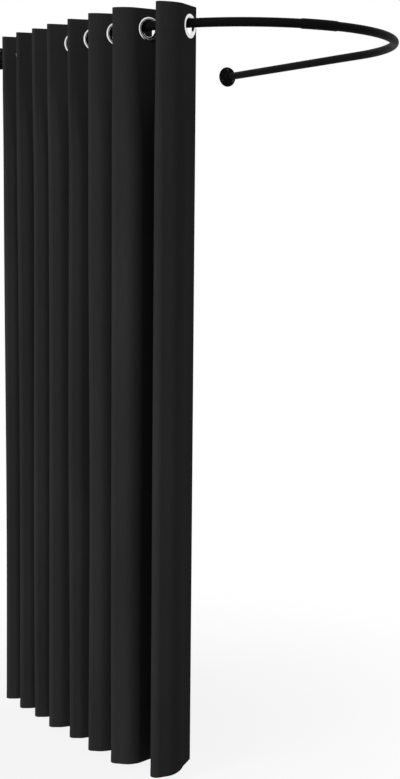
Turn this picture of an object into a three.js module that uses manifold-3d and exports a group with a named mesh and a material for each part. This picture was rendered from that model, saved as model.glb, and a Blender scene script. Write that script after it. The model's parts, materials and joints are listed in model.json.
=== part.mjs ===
// A wall-mounted fitting room: a U-shaped tube rail between two round wall plates, and a black
// eyelet curtain drawn back along the left arm of the rail and round the start of its bow.
//
// Millimetres. The origin is on the wall, midway between the two arms, at the height of the
// rail's centre line. +X is to the right as seen from the room, +Y goes into the wall, +Z is up.
//
// A place along the rail is its distance from the wall, measured along the centre line of the
// tube from the left wall plate. Panel 1 is the leading panel, panel 16 the one next to the wall.

import * as THREE from 'three';
import { mergeVertices } from 'three/addons/utils/BufferGeometryUtils.js';
import Module from 'manifold-3d';

// Rail
const bowRadius = 440; // half the distance between the two arms
const armLength = 750; // straight stretch from the wall to the start of the bow
const tubeDiameter = 25;
const tubeWall = 1.2;
const slipGap = 0.3; // running gap between a tube and the bore it slides in
const mouthAngle = 90; // degrees round the bow to the mouth of the joint between the halves
const socketLength = 105; // widened end of the left half, which the right half slides into
const neckLength = 9; // taper from the tube up to the socket
const socketEndGap = 1.5; // left free behind the end of the right half
const tubeSides = 16;
const bowSteps = 15; // straight facets from the start of the bow to the socket, and past it
const socketSteps = 3;
const neckSteps = 3;

// Wall plates
const plateDiameter = 68;
const plateRim = 3.2; // thickness at the edge
const plateRise = 2.8; // how far the face has risen where it meets the collar
const midRiseShare = 0.6; // of plateRise, half way up the face
const collarLength = 22; // from the wall
const collarWall = 3.4;
const collarChamfer = 0.8;
const boreFloor = 3; // left between the wall and the end of the tube
const plateSides = 28;

// Wall screws, three to a plate
const screwCount = 3;
const screwDiameter = 4;
const screwHeadDiameter = 8.2;
const screwLength = 16;
const screwPoint = 3.5;
const screwGap = 0.3; // round the shank and the head, in the countersunk hole
const crossWidth = 0.9;
const crossLength = 4.4;
const crossDepth = 1.3;
const screwSides = 14;

// Set screws, which clamp the tube from below
const setScrewDiameter = 5;
const setScrewGap = 0.3;
const setScrewProud = 0.4; // how far it stands out of the collar
const hexSize = 2.5; // across the corners of its socket
const hexDepth = 1.6;

// Eyelets, a front half and a back half either side of the cloth
const eyeletSlack = 8.5; // between the tube and the inside of the eyelet, all round
const hangGap = 0.4; // between the top of the tube and the eyelet that hangs on it
const barrelWall = 1.4; // sleeve that goes through the cloth
const flangeWidth = 10; // cover ring outside the sleeve
const flangeRise = 3.1; // how far the cover ring domes above the cloth
const flangeLip = 4; // flat outer slope of the dome
const innerRoll = 1; // the dome's drop towards the hole
const washerRise = 2.7;
const washerLip = 3;
const eyeletGap = 0.3; // between cloth, front half and back half
const holeMargin = 0.8; // cloth hole outside the sleeve
const eyeletSides = 16;

// Curtain
const clothThickness = 2;
const clothDrop = 2105;
const headingMargin = 22.1; // cloth above the eyelets
const edgeMargin = 6; // cloth between an end eyelet and the side edge
const flatMargin = 3; // flat cloth kept round each eyelet

// Folds on the straight arm, panels 6 to 16
const stackFoldRadius = 8;
const stackSetBack = 16.5; // first fold of the stack, behind the start of the bow
const lastFoldFromWall = 165.3;
const outerReach = 74.4; // rail to the tip of the outer fold that stands out most
const innerReach = 70.4; // rail to the tip of an inner fold, on average
const outerPlaceShares = [0, 0.224, 0.434, 0.626, 0.805, 1]; // of stackLength, outer folds 5-6 to 15-16
const outerReachShares = [0.96, 0.935, 1, 0.931, 0.972, 0.898]; // of outerReach, the same folds
const closingRoom = 12; // degrees of cloth left out at each side of a fold, which closes up

// Folds at the start of the bow, panels 1 to 5
const frontSpread = 294; // along the rail, from the first fold of the stack to eyelet 1
const frontFoldReach = 96.7; // rail to the tip of the outermost fold
const frontFoldRadius = 11;
const buttRoom = 2; // degrees of cloth left out at each side of a fold, which only opens
const eyeletPlaceShares = [1, 0.76, 0.565, 0.316, 0.121]; // of frontSpread, eyelets 1 to 5
const eyeletLeans = [5, 7, 20, 7, 20]; // degrees from square to the rail, eyelets 1 to 5
const foldPlaceShares = [0.857, 0.689, 0.388, 0.24]; // of frontSpread, folds 1-2 to 4-5
const foldReachShares = [1, 0.941, 0.811, 0.941]; // of frontFoldReach, folds 1-2 to 4-5
const bendSteps = 3;
const arcSteps = 3;

// Colours
const blackMetal = new THREE.MeshStandardMaterial({ color: 0x0b0b0c, roughness: 0.35, metalness: 0.6 });
const blackCloth = new THREE.MeshStandardMaterial({ color: 0x17171a, roughness: 0.95, metalness: 0 });
const chrome = new THREE.MeshStandardMaterial({ color: 0xd8d8d8, roughness: 0.15, metalness: 1 });
const blackScrew = new THREE.MeshStandardMaterial({ color: 0x1a1a1b, roughness: 0.45, metalness: 0.7 });

// Worked out from the sizes above
const tubeRadius = tubeDiameter / 2;
const boreRadius = tubeRadius + slipGap;
const collarRadius = boreRadius + collarWall;
const plateRadius = plateDiameter / 2;
const screwCircle = (collarRadius + plateRadius) / 2;
const shankRadius = screwDiameter / 2;
const headRadius = screwHeadDiameter / 2;
const overrun = tubeWall; // how far a cutting shape runs past what it cuts
const mouthPlace = armLength + bowRadius * THREE.MathUtils.degToRad(mouthAngle);
const socketPlace = mouthPlace - socketLength;
const bowEndPlace = armLength + Math.PI * bowRadius;
const railLength = bowEndPlace + armLength;
const tubeEnd = boreFloor + slipGap; // from the wall to the end of the tube in its collar
const eyeletHole = tubeRadius + eyeletSlack;
const barrelRadius = eyeletHole + barrelWall;
const flangeRadius = barrelRadius + flangeWidth;
const washerBore = barrelRadius + eyeletGap;
const eyeletHeight = tubeRadius + hangGap - eyeletHole; // eyelet centre, below the rail
const clothHole = barrelRadius + holeMargin;
const clothSeat = clothThickness / 2 + eyeletGap; // middle of the cloth to an eyelet half
const clothTop = eyeletHeight + flangeRadius + headingMargin;
const flatReach = flangeRadius + flatMargin;
const edgeReach = flangeRadius + edgeMargin;
const firstStackPanel = eyeletLeans.length + 1;

const wasm = await Module();
wasm.setup();

// A manifold solid from a closed three.js geometry
function solidOf(geometry) {
  const bare = geometry.clone();
  bare.deleteAttribute('normal');
  bare.deleteAttribute('uv');
  const merged = mergeVertices(bare);
  const corners = merged.index.array;
  const kept = [];
  for (let i = 0; i < corners.length; i += 3) {
    const [a, b, c] = [corners[i], corners[i + 1], corners[i + 2]];
    if (a !== b && b !== c && c !== a) kept.push(a, b, c);
  }
  const vertProperties = merged.attributes.position.array;
  return new wasm.Manifold(new wasm.Mesh({ numProp: 3, vertProperties, triVerts: Uint32Array.from(kept) }));
}

function geometryOf(solid) {
  const { vertProperties, triVerts } = solid.getMesh();
  const geometry = new THREE.BufferGeometry();
  geometry.setAttribute('position', new THREE.BufferAttribute(vertProperties, 3));
  geometry.setIndex(new THREE.BufferAttribute(triVerts, 1));
  geometry.computeVertexNormals();
  return geometry;
}

function cut(body, tools) {
  return geometryOf(tools.reduce((solid, tool) => solid.subtract(solidOf(tool)), solidOf(body)));
}

function join(bodies) {
  return geometryOf(bodies.map(solidOf).reduce((solid, next) => solid.add(next)));
}

function turned(points, sides) {
  return new THREE.LatheGeometry(points.map(([r, y]) => new THREE.Vector2(r, y)), sides);
}

function piece(name, geometry, material) {
  const mesh = new THREE.Mesh(geometry, material);
  mesh.name = name;
  return mesh;
}

// The rail's point, its direction away from the left wall and its outward normal, seen from above
function railAt(place) {
  if (place < armLength) {
    return {
      point: new THREE.Vector2(-bowRadius, -place),
      along: new THREE.Vector2(0, -1),
      out: new THREE.Vector2(-1, 0),
    };
  }
  if (place > bowEndPlace) {
    return {
      point: new THREE.Vector2(bowRadius, place - railLength),
      along: new THREE.Vector2(0, 1),
      out: new THREE.Vector2(1, 0),
    };
  }
  const turn = (place - armLength) / bowRadius;
  const out = new THREE.Vector2(-Math.cos(turn), -Math.sin(turn));
  return {
    point: new THREE.Vector2(0, -armLength).addScaledVector(out, bowRadius),
    along: new THREE.Vector2(Math.sin(turn), -Math.cos(turn)),
    out,
  };
}

// The rail's centre line through chosen places, square to the line at each of them
class RailPath extends THREE.Curve {
  constructor(places) {
    super();
    this.places = places;
  }

  at(share) {
    return railAt(this.places[Math.round(share * (this.places.length - 1))]);
  }

  getPointAt(share) {
    const { point } = this.at(share);
    return new THREE.Vector3(point.x, point.y, 0);
  }

  getTangentAt(share) {
    const { along } = this.at(share);
    return new THREE.Vector3(along.x, along.y, 0);
  }
}

// Places from first to last in equal steps
function spread(first, last, steps) {
  return Array.from({ length: steps + 1 }, (_, i) => first + ((last - first) * i) / steps);
}

// A tube swept through the places, with its bore open at both ends
function sweptTube(places, outerRadius) {
  const section = new THREE.Shape().absarc(0, 0, outerRadius, 0, 2 * Math.PI);
  section.holes.push(new THREE.Path().absarc(0, 0, outerRadius - tubeWall, 0, 2 * Math.PI));
  return new THREE.ExtrudeGeometry(section, {
    steps: places.length - 1,
    curveSegments: tubeSides / 2,
    extrudePath: new RailPath(places),
  });
}

// Left half: the plain tube, a stepped neck and the socket, joined
function railLeftHalf() {
  const socketRadius = boreRadius + tubeWall;
  const neckPlace = socketPlace - neckLength;
  const stepLength = neckLength / neckSteps;
  const lap = stepLength / 4;
  const parts = [
    sweptTube([tubeEnd, ...spread(armLength, neckPlace, bowSteps), neckPlace + lap], tubeRadius),
    sweptTube([socketPlace - lap, ...spread(socketPlace, mouthPlace, socketSteps)], socketRadius),
  ];
  for (let i = 0; i < neckSteps; i++) {
    const widening = ((i + 1) / (neckSteps + 1)) * (socketRadius - tubeRadius);
    const start = neckPlace + stepLength * i;
    parts.push(sweptTube([start - lap, start + stepLength + lap], tubeRadius + widening));
  }
  return join(parts);
}

// Right half: a plain tube whose end slides into the socket
function railRightHalf() {
  const inSocket = spread(socketPlace, mouthPlace, socketSteps);
  inSocket[0] += socketEndGap;
  const onBow = spread(mouthPlace, bowEndPlace, bowSteps + socketSteps).slice(1);
  return sweptTube([...inSocket, ...onBow, railLength - tubeEnd], tubeRadius);
}

// Wall plate: the back lies on the wall at y = 0 and the collar points into the room along -y
const faceSlope = plateRise / (plateRadius - collarRadius);
const headSeat = plateRim + faceSlope * (plateRadius - screwCircle - headRadius);

function screwPlaces() {
  return Array.from({ length: screwCount }, (_, i) => {
    const turn = (2 * Math.PI * i) / screwCount;
    return new THREE.Vector3(screwCircle * Math.sin(turn), 0, screwCircle * Math.cos(turn));
  });
}

function setScrewPlace() {
  return new THREE.Vector3(0, -(boreFloor + collarLength) / 2, 0);
}

function wallPlate() {
  const face = plateRim + plateRise;
  const midFace = plateRim + plateRise * midRiseShare;
  const plate = turned([
    [0, 0],
    [0, -boreFloor],
    [boreRadius, -boreFloor],
    [boreRadius, -collarLength],
    [collarRadius - collarChamfer, -collarLength],
    [collarRadius, collarChamfer - collarLength],
    [collarRadius, -face],
    [(collarRadius + plateRadius) / 2, -midFace],
    [plateRadius - collarChamfer, -plateRim],
    [plateRadius, collarChamfer - plateRim],
    [plateRadius, 0],
    [0, 0],
  ], plateSides);
  const sink = headRadius - shankRadius;
  const holes = screwPlaces().map(({ x, z }) => turned([
    [0, overrun],
    [0, -face - overrun],
    [headRadius + screwGap, -face - overrun],
    [headRadius + screwGap, -headSeat],
    [shankRadius + screwGap, sink - headSeat],
    [shankRadius + screwGap, overrun],
    [0, overrun],
  ], screwSides).translate(x, 0, z));
  const tapRadius = setScrewDiameter / 2 + setScrewGap;
  const tapLength = collarRadius + overrun;
  const tap = new THREE.CylinderGeometry(tapRadius, tapRadius, tapLength, screwSides);
  tap.rotateX(Math.PI / 2).translate(0, setScrewPlace().y, -tapLength / 2);
  return cut(plate, [...holes, tap]);
}

// Countersunk wall screw, its head flush with the plate and its point in the wall
function wallScrew() {
  const sink = headRadius - shankRadius;
  const tip = screwLength - headSeat;
  const screw = turned([
    [0, -headSeat],
    [headRadius, -headSeat],
    [shankRadius, sink - headSeat],
    [shankRadius, tip - screwPoint],
    [0, tip],
  ], screwSides);
  const slots = [[crossLength, crossWidth], [crossWidth, crossLength]].map(([width, height]) => {
    const slot = new THREE.BoxGeometry(width, 2 * crossDepth, height);
    return slot.translate(0, -headSeat, 0);
  });
  return cut(screw, slots);
}

// Set screw, pointing up at the underside of the tube
function setScrew() {
  const top = tubeRadius + slipGap;
  const length = collarRadius + setScrewProud - top;
  const radius = setScrewDiameter / 2;
  const screw = new THREE.CylinderGeometry(radius, radius, length, screwSides);
  const socket = new THREE.CylinderGeometry(hexSize / 2, hexSize / 2, 2 * hexDepth, 6);
  socket.translate(0, -length / 2, 0);
  return cut(screw, [socket]).rotateX(Math.PI / 2).translate(0, 0, -top - length / 2);
}

// Eyelet halves, turned about y. The front half's sleeve passes through the cloth, which lies
// on the plane y = 0, and the back half is a washer round it.
function eyeletFront() {
  const crown = clothSeat + flangeRise;
  return turned([
    [eyeletHole, -clothSeat - washerRise],
    [barrelRadius, -clothSeat - washerRise],
    [barrelRadius, clothSeat],
    [flangeRadius, clothSeat],
    [flangeRadius - flangeLip, crown],
    [eyeletHole, crown - innerRoll],
    [eyeletHole, -clothSeat - washerRise],
  ], eyeletSides);
}

function eyeletBack() {
  return turned([
    [washerBore, -clothSeat],
    [washerBore, -clothSeat - washerRise],
    [flangeRadius - washerLip, -clothSeat - washerRise],
    [flangeRadius, -clothSeat],
    [washerBore, -clothSeat],
  ], eyeletSides);
}

// Folds. A fold has the centre of its round in plan, the way to its tip, and the rail's
// direction there. Even ones in the stack, counted from the bow, lie outside the rail.
function foldAt(place, depth, radius, isOuter) {
  const { point, along, out } = railAt(place);
  const tipWay = out.clone().multiplyScalar(isOuter ? 1 : -1);
  return { centre: point.addScaledVector(tipWay, depth), tipWay, along, radius };
}

// The stack's outer folds have their own places. All its panels run at one slope from fold to
// fold, so an inner fold is as deep as its two neighbours are far apart.
const stackStart = armLength - stackSetBack;
const stackLength = stackStart - lastFoldFromWall;
const outerDepths = outerReachShares.map((share) => outerReach * share - stackFoldRadius);
const wayAcross = outerDepths.slice(1).reduce((sum, depth, i) => {
  return sum + outerDepths[i] + depth + 2 * (innerReach - stackFoldRadius);
}, 0);
const stackSlope = stackLength / wayAcross; // along the rail, per way across it
const stackPlaces = [stackStart];
const stackDepths = [outerDepths[0]];
outerDepths.slice(1).forEach((depth, i) => {
  const apart = (outerPlaceShares[i + 1] - outerPlaceShares[i]) * stackLength;
  const innerDepth = (apart / stackSlope - outerDepths[i] - depth) / 2;
  stackPlaces.push(stackPlaces.at(-1) - (outerDepths[i] + innerDepth) * stackSlope);
  stackPlaces.push(stackPlaces.at(-1) - (innerDepth + depth) * stackSlope);
  stackDepths.push(innerDepth, depth);
});
const stackFolds = stackPlaces.map((place, i) => {
  return foldAt(place, stackDepths[i], stackFoldRadius, i % 2 === 0);
});
const frontFolds = foldPlaceShares.map((share, i) => {
  const depth = frontFoldReach * foldReachShares[i] - frontFoldRadius;
  return foldAt(stackStart + share * frontSpread, depth, frontFoldRadius, i % 2 === 0);
});
const folds = [...frontFolds, ...stackFolds];
const panelCount = folds.length + 1;

// An eyelet's place on the rail, and the way its panel runs outwards through it. Panels with
// odd numbers lean back towards the wall on their outer side, even ones lean forward.
function eyeletAt(number) {
  const side = number % 2 === 0 ? 1 : -1;
  let place = stackStart + eyeletPlaceShares[number - 1] * frontSpread;
  let lean = THREE.MathUtils.degToRad(eyeletLeans[number - 1]);
  if (number >= firstStackPanel) {
    const first = number - firstStackPanel;
    const depths = stackDepths.slice(first, first + 2);
    const across = depths[0] + depths.at(-1);
    const apart = across * Math.hypot(1, stackSlope);
    lean = Math.atan(stackSlope) - Math.asin((2 * stackFoldRadius) / apart);
    const overshoot = depths[0] - across / 2;
    place = stackPlaces[first] - (across * stackSlope) / 2 - overshoot * Math.tan(lean);
  }
  const { point, along, out } = railAt(place);
  const outward = out.clone().multiplyScalar(Math.cos(lean)).addScaledVector(along, side * Math.sin(lean));
  const forward = new THREE.Vector2(outward.y, -outward.x);
  if (forward.dot(along) < 0) forward.negate();
  return { point, outward, forward, along };
}

// Half a panel in plan, from the flat cloth beside its eyelet to the tip of a fold
function panelArm(eyelet, fold, way, room, isStraight) {
  const start = eyelet.point.clone().addScaledVector(way, flatReach);
  const bend = start.clone().addScaledVector(way, start.distanceTo(fold.centre) / 2);
  const towards = fold.centre.clone().sub(bend);
  const swing = Math.asin(fold.radius / towards.length());
  const reach = Math.sqrt(towards.lengthSq() - fold.radius ** 2);
  const side = Math.sign(eyelet.point.clone().sub(fold.centre).dot(fold.along));
  const touches = [swing, -swing].map((turn) => {
    const ray = towards.clone().normalize().rotateAround(new THREE.Vector2(), turn);
    return ray.multiplyScalar(reach).add(bend);
  });
  const sideways = (point) => point.clone().sub(fold.centre).dot(fold.along) * side;
  const touch = sideways(touches[0]) > sideways(touches[1]) ? touches[0] : touches[1];
  const offset = touch.clone().sub(fold.centre);
  const turnIn = Math.atan2(offset.dot(fold.along) * side, offset.dot(fold.tipWay));
  const bent = new THREE.QuadraticBezierCurve(start, bend, touch);
  const path = isStraight ? [] : bent.getPoints(bendSteps).slice(0, -1);
  for (const turn of spread(turnIn, THREE.MathUtils.degToRad(room), arcSteps)) {
    const point = fold.centre.clone().addScaledVector(fold.tipWay, fold.radius * Math.cos(turn));
    path.push(point.addScaledVector(fold.along, side * fold.radius * Math.sin(turn)));
  }
  return path;
}

// The middle line of a panel in plan, from its outer end to its inner end
function panelPath(number) {
  const eyelet = eyeletAt(number);
  const leading = folds[number - 2]; // fold towards panel 1
  const trailing = folds[number - 1]; // fold towards the wall
  const [outer, inner] = number % 2 === 0 ? [leading, trailing] : [trailing, leading];
  const isStraight = number >= firstStackPanel;
  const roomAt = (fold) => (isStraight ? closingRoom : buttRoom);
  const inward = eyelet.outward.clone().negate();
  const edge = eyelet.point.clone().addScaledVector(inward, edgeReach);
  const outerArm = panelArm(eyelet, outer, eyelet.outward, roomAt(outer), isStraight);
  const innerArm = inner ? panelArm(eyelet, inner, inward, roomAt(inner), isStraight) : [edge];
  return [...outerArm.reverse(), ...innerArm];
}

// The outline of a path given a thickness
function thickened(path, thickness) {
  const normals = path.slice(1).map((point, i) => {
    const run = point.clone().sub(path[i]).normalize();
    return new THREE.Vector2(-run.y, run.x);
  });
  const sideOf = (way) => path.map((point, i) => {
    const before = normals[Math.max(i - 1, 0)];
    const after = normals[Math.min(i, normals.length - 1)];
    const mitre = before.clone().add(after).normalize();
    return point.clone().addScaledVector(mitre, (way * thickness) / 2 / mitre.dot(after));
  });
  return new THREE.Shape([...sideOf(1), ...sideOf(-1).reverse()]);
}

function curtainPanel(number) {
  const outline = thickened(panelPath(number), clothThickness);
  const cloth = new THREE.ExtrudeGeometry(outline, { depth: clothDrop, bevelEnabled: false });
  cloth.translate(0, 0, clothTop - clothDrop);
  const { point, forward } = eyeletAt(number);
  const hole = new THREE.CylinderGeometry(clothHole, clothHole, flatReach / 2, eyeletSides);
  hole.rotateZ(Math.atan2(-forward.x, forward.y)).translate(point.x, point.y, eyeletHeight);
  return cut(cloth, [hole]);
}

const fittingRoom = new THREE.Group();

// Rail with its plates and screws
fittingRoom.add(piece('rail_left_half', railLeftHalf(), blackMetal));
fittingRoom.add(piece('rail_right_half', railRightHalf(), blackMetal));
for (const [side, x] of [['left', -bowRadius], ['right', bowRadius]]) {
  const end = new THREE.Group();
  end.position.x = x;
  end.add(piece(`${side}_wall_plate`, wallPlate(), blackMetal));
  screwPlaces().forEach((place, i) => {
    const screw = piece(`${side}_wall_screw_${i + 1}`, wallScrew(), blackScrew);
    screw.position.copy(place);
    end.add(screw);
  });
  const clamp = piece(`${side}_set_screw`, setScrew(), blackScrew);
  clamp.position.copy(setScrewPlace());
  end.add(clamp);
  fittingRoom.add(end);
}

// Curtain: each panel with the two halves of its eyelet. The front halves are on the face of
// the cloth, which turns over at every fold.
for (let number = 1; number <= panelCount; number++) {
  const label = String(number).padStart(2, '0');
  fittingRoom.add(piece(`curtain_panel_${label}`, curtainPanel(number), blackCloth));
  const { point, forward } = eyeletAt(number);
  if (number % 2 === 0) forward.negate();
  const eyelet = new THREE.Group();
  eyelet.position.set(point.x, point.y, eyeletHeight);
  eyelet.rotation.z = Math.atan2(-forward.x, forward.y);
  eyelet.add(piece(`eyelet_front_${label}`, eyeletFront(), chrome));
  eyelet.add(piece(`eyelet_back_${label}`, eyeletBack(), chrome));
  fittingRoom.add(eyelet);
}

export default fittingRoom;
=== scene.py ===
import json
import math
import random

import bpy
from mathutils import Matrix, Vector


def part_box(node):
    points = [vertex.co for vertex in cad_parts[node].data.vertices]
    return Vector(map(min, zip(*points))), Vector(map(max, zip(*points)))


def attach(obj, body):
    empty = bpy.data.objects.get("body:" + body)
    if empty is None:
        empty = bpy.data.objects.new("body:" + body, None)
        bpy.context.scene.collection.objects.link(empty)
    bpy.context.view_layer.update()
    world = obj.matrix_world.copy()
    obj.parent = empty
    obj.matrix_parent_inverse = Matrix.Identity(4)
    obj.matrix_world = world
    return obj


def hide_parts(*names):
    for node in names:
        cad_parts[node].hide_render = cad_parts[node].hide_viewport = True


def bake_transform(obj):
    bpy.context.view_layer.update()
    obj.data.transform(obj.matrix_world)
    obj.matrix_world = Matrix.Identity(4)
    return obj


# A wall-mounted fitting room: a U-shaped black rail between two wall plates, and a black eyelet
# curtain drawn back along its left arm. Metres. The wall is at Y 0, and the rail is at Z 0.

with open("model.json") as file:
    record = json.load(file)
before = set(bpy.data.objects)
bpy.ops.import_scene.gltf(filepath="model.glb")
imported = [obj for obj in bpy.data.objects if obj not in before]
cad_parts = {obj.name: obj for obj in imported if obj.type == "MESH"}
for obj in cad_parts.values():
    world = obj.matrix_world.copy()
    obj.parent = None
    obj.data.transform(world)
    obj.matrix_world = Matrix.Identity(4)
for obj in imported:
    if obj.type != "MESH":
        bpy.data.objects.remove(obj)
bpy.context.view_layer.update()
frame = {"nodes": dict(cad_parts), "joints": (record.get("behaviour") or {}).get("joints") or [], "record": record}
joints = {joint["name"]: Vector(joint["pos_m"]) for joint in frame["joints"]}
mounts = {mount["name"]: Vector(mount["pos_m"]) for mount in frame["record"]["mounts"]}
bowCentre = joints["front_draw"]
bowRadius = mounts["right_wall_plate"].x
armLength = -bowCentre.y
up = Vector((0, 0, 1))
print("frame loaded:", len(frame["nodes"]), "nodes")


# Tools for modelling

def pick(piece):
    bpy.ops.object.select_all(action="DESELECT")
    piece.select_set(True)
    bpy.context.view_layer.objects.active = piece


def addPrimitive(name, operator, **settings):
    bpy.ops.object.select_all(action="DESELECT")
    operator(**settings)
    piece = bpy.context.object
    piece.name = name
    piece.data.name = name
    bpy.ops.object.transform_apply(location=True, rotation=True, scale=True)
    return piece


def applyModifier(piece, kind, **settings):
    modifier = piece.modifiers.new(kind.title(), kind)
    for name, value in settings.items():
        setattr(modifier, name, value)
    pick(piece)
    bpy.ops.object.modifier_apply(modifier=modifier.name)


def breakEdges(piece, width, sharpAngle):
    applyModifier(
        piece, "BEVEL", width=width, segments=2, limit_method="ANGLE",
        angle_limit=math.radians(sharpAngle),
    )


def closeSeams(seamGap=1e-6):  # in edit mode
    bpy.ops.mesh.select_all(action="SELECT")
    bpy.ops.mesh.remove_doubles(threshold=seamGap)
    bpy.ops.mesh.normals_make_consistent(inside=False)


def smoothShade(piece, angle):
    pick(piece)
    bpy.ops.object.shade_smooth_by_angle(angle=math.radians(angle))


def copyPiece(piece, name, place):
    copy = piece.copy()
    copy.data = piece.data.copy()
    copy.name = copy.data.name = name
    copy.data.transform(place)
    bpy.context.scene.collection.objects.link(copy)
    return copy


def removePiece(piece):
    bpy.data.meshes.remove(piece.data)


def cutAway(piece, cutters):
    for cutter in cutters:
        applyModifier(piece, "BOOLEAN", operation="DIFFERENCE", solver="EXACT", object=cutter)
        removePiece(cutter)


def ease(value):  # from 0 to 1, slow at both ends
    value = min(max(value, 0), 1)
    return value * value * (3 - 2 * value)


def arc(centre, radii, first, last, steps):
    turns = [math.radians(first + (last - first) * i / steps) for i in range(steps + 1)]
    return [(centre[0] + radii[0] * math.cos(t), centre[1] + radii[1] * math.sin(t)) for t in turns]


# A turned piece round Z, from a profile of (radius, height). A profile that starts or ends on the
# axis is closed there, and one that doesn't closes on itself.
def turnedPiece(name, profile, sides):
    onAxis = profile[0][0] == 0
    rings = profile[1:] if onAxis else profile + profile[:1]
    radius, height = rings[0]
    piece = addPrimitive(
        name, bpy.ops.mesh.primitive_circle_add, vertices=sides, radius=radius,
        fill_type="TRIFAN" if onAxis else "NOTHING", location=(0, 0, height),
    )
    if onAxis:
        vertices = piece.data.vertices
        for face in piece.data.polygons:
            face.select = False
        for vertex in vertices:
            vertex.select = vertex.co.xy.length > radius / 2
            if not vertex.select:
                vertex.co.z = profile[0][1]
        for edge in piece.data.edges:
            edge.select = all(vertices[i].select for i in edge.vertices)
    bpy.ops.object.mode_set(mode="EDIT")
    for nextRadius, nextHeight in rings[1:]:
        bpy.ops.mesh.extrude_edges_move(
            TRANSFORM_OT_translate={"value": (0, 0, nextHeight - height)}
        )
        share = nextRadius / radius
        bpy.ops.transform.resize(value=(share, share, 1), center_override=(0, 0, nextHeight))
        radius, height = nextRadius, nextHeight
    closeSeams()
    bpy.ops.object.mode_set(mode="OBJECT")
    return piece


# Tools for materials

def newMaterial(name, colour, finish):
    material = bpy.data.materials.new(name)
    material.use_nodes = True
    shader = material.node_tree.nodes["Principled BSDF"]
    shader.inputs["Base Color"].default_value = (*colour, 1)
    shader.inputs["Roughness"].default_value = finish["roughness"]
    shader.inputs["Metallic"].default_value = finish["metallic"]
    shader.inputs["Specular IOR Level"].default_value = finish["specular"]
    return material


def addNode(material, kind, values=None, **settings):
    node = material.node_tree.nodes.new(kind)
    for name, value in settings.items():
        setattr(node, name, value)
    for name, value in (values or {}).items():
        node.inputs[name].default_value = value
    return node


def link(material, output, target):
    material.node_tree.links.new(output, target)


def linkShader(material, output, socket):
    link(material, output, material.node_tree.nodes["Principled BSDF"].inputs[socket])


def noiseNode(material, coordinates, scale, detail, stretch=(1, 1, 1)):
    mapping = addNode(material, "ShaderNodeMapping", {"Scale": stretch})
    link(material, coordinates, mapping.inputs["Vector"])
    noise = addNode(material, "ShaderNodeTexNoise", {"Scale": scale, "Detail": detail})
    link(material, mapping.outputs["Vector"], noise.inputs["Vector"])
    return noise.outputs["Fac"]


def spreadNode(material, value, low, high, fromLow=0.3, fromHigh=0.7):
    spread = addNode(material, "ShaderNodeMapRange", {
        "From Min": fromLow, "From Max": fromHigh, "To Min": low, "To Max": high,
    })
    link(material, value, spread.inputs["Value"])
    return spread.outputs["Result"]


def mathNode(material, operation, *inputs):
    node = addNode(material, "ShaderNodeMath", operation=operation)
    for socket, value in zip(node.inputs, inputs):
        if isinstance(value, (int, float)):
            socket.default_value = value
        else:
            link(material, value, socket)
    return node.outputs["Value"]


def addBump(material, height, distance, strength, under=None):
    bump = addNode(material, "ShaderNodeBump", {"Distance": distance, "Strength": strength})
    link(material, height, bump.inputs["Height"])
    if under:
        link(material, under, bump.inputs["Normal"])
    return bump.outputs["Normal"]


# A pattern from 0 to 1 blends a finish from its dark colour to its light one
def colourBy(material, pattern, finish):
    mix = addNode(material, "ShaderNodeMix", data_type="RGBA")
    link(material, pattern, mix.inputs[0])
    for socket, name in ((6, "dark"), (7, "light")):  # the sockets that take colours
        mix.inputs[socket].default_value = (*finish[name], 1)
    linkShader(material, mix.outputs[2], "Base Color")


def roughenBy(material, pattern, finish):
    low, high = (finish["roughness"] + change for change in finish["roughnessChanges"])
    linkShader(material, spreadNode(material, pattern, low, high), "Roughness")


# Materials of the metal pieces

powderCoat = {
    "dark": (0.0042, 0.0042, 0.0045),
    "light": (0.0066, 0.0066, 0.0069),
    "roughness": 0.46,
    "roughnessChanges": (-0.05, 0.07),
    "metallic": 0,
    "specular": 0.015,
    "cloud": {"scale": 9, "detail": 3},
    "smudge": {"scale": 28, "detail": 4},
    "grain": {"scale": 1400, "detail": 2},
    "grainBump": {"distance": 0.00004, "strength": 0.5},
}


def powderCoatMaterial():
    material = newMaterial("powderCoat", powderCoat["dark"], powderCoat)
    place = addNode(material, "ShaderNodeTexCoord").outputs["Object"]
    colourBy(material, noiseNode(material, place, **powderCoat["cloud"]), powderCoat)
    roughenBy(material, noiseNode(material, place, **powderCoat["smudge"]), powderCoat)
    grain = noiseNode(material, place, **powderCoat["grain"])
    linkShader(material, addBump(material, grain, **powderCoat["grainBump"]), "Normal")
    return material


chrome = {
    "colour": (0.82, 0.82, 0.83),
    "roughness": 0.09,
    "roughnessChanges": (-0.02, 0.03),
    "metallic": 1,
    "specular": 0.5,
    "haze": {"scale": 60, "detail": 4},
    "scratches": {"scale": 300, "detail": 3, "stretch": (1, 1, 6)},
    "scratchBump": {"distance": 0.000004, "strength": 0.15},
}


def chromeMaterial():
    material = newMaterial("polishedChrome", chrome["colour"], chrome)
    place = addNode(material, "ShaderNodeTexCoord").outputs["Object"]
    roughenBy(material, noiseNode(material, place, **chrome["haze"]), chrome)
    scratches = noiseNode(material, place, **chrome["scratches"])
    linkShader(material, addBump(material, scratches, **chrome["scratchBump"]), "Normal")
    return material


blackOxide = {
    "dark": (0.03, 0.03, 0.031),
    "light": (0.06, 0.06, 0.062),
    "roughness": 0.36,
    "roughnessChanges": (-0.06, 0.1),
    "metallic": 0.7,
    "specular": 0.5,
    "wear": {"scale": 420, "detail": 4},
    "wearBump": {"distance": 0.00003, "strength": 0.4},
}


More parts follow.
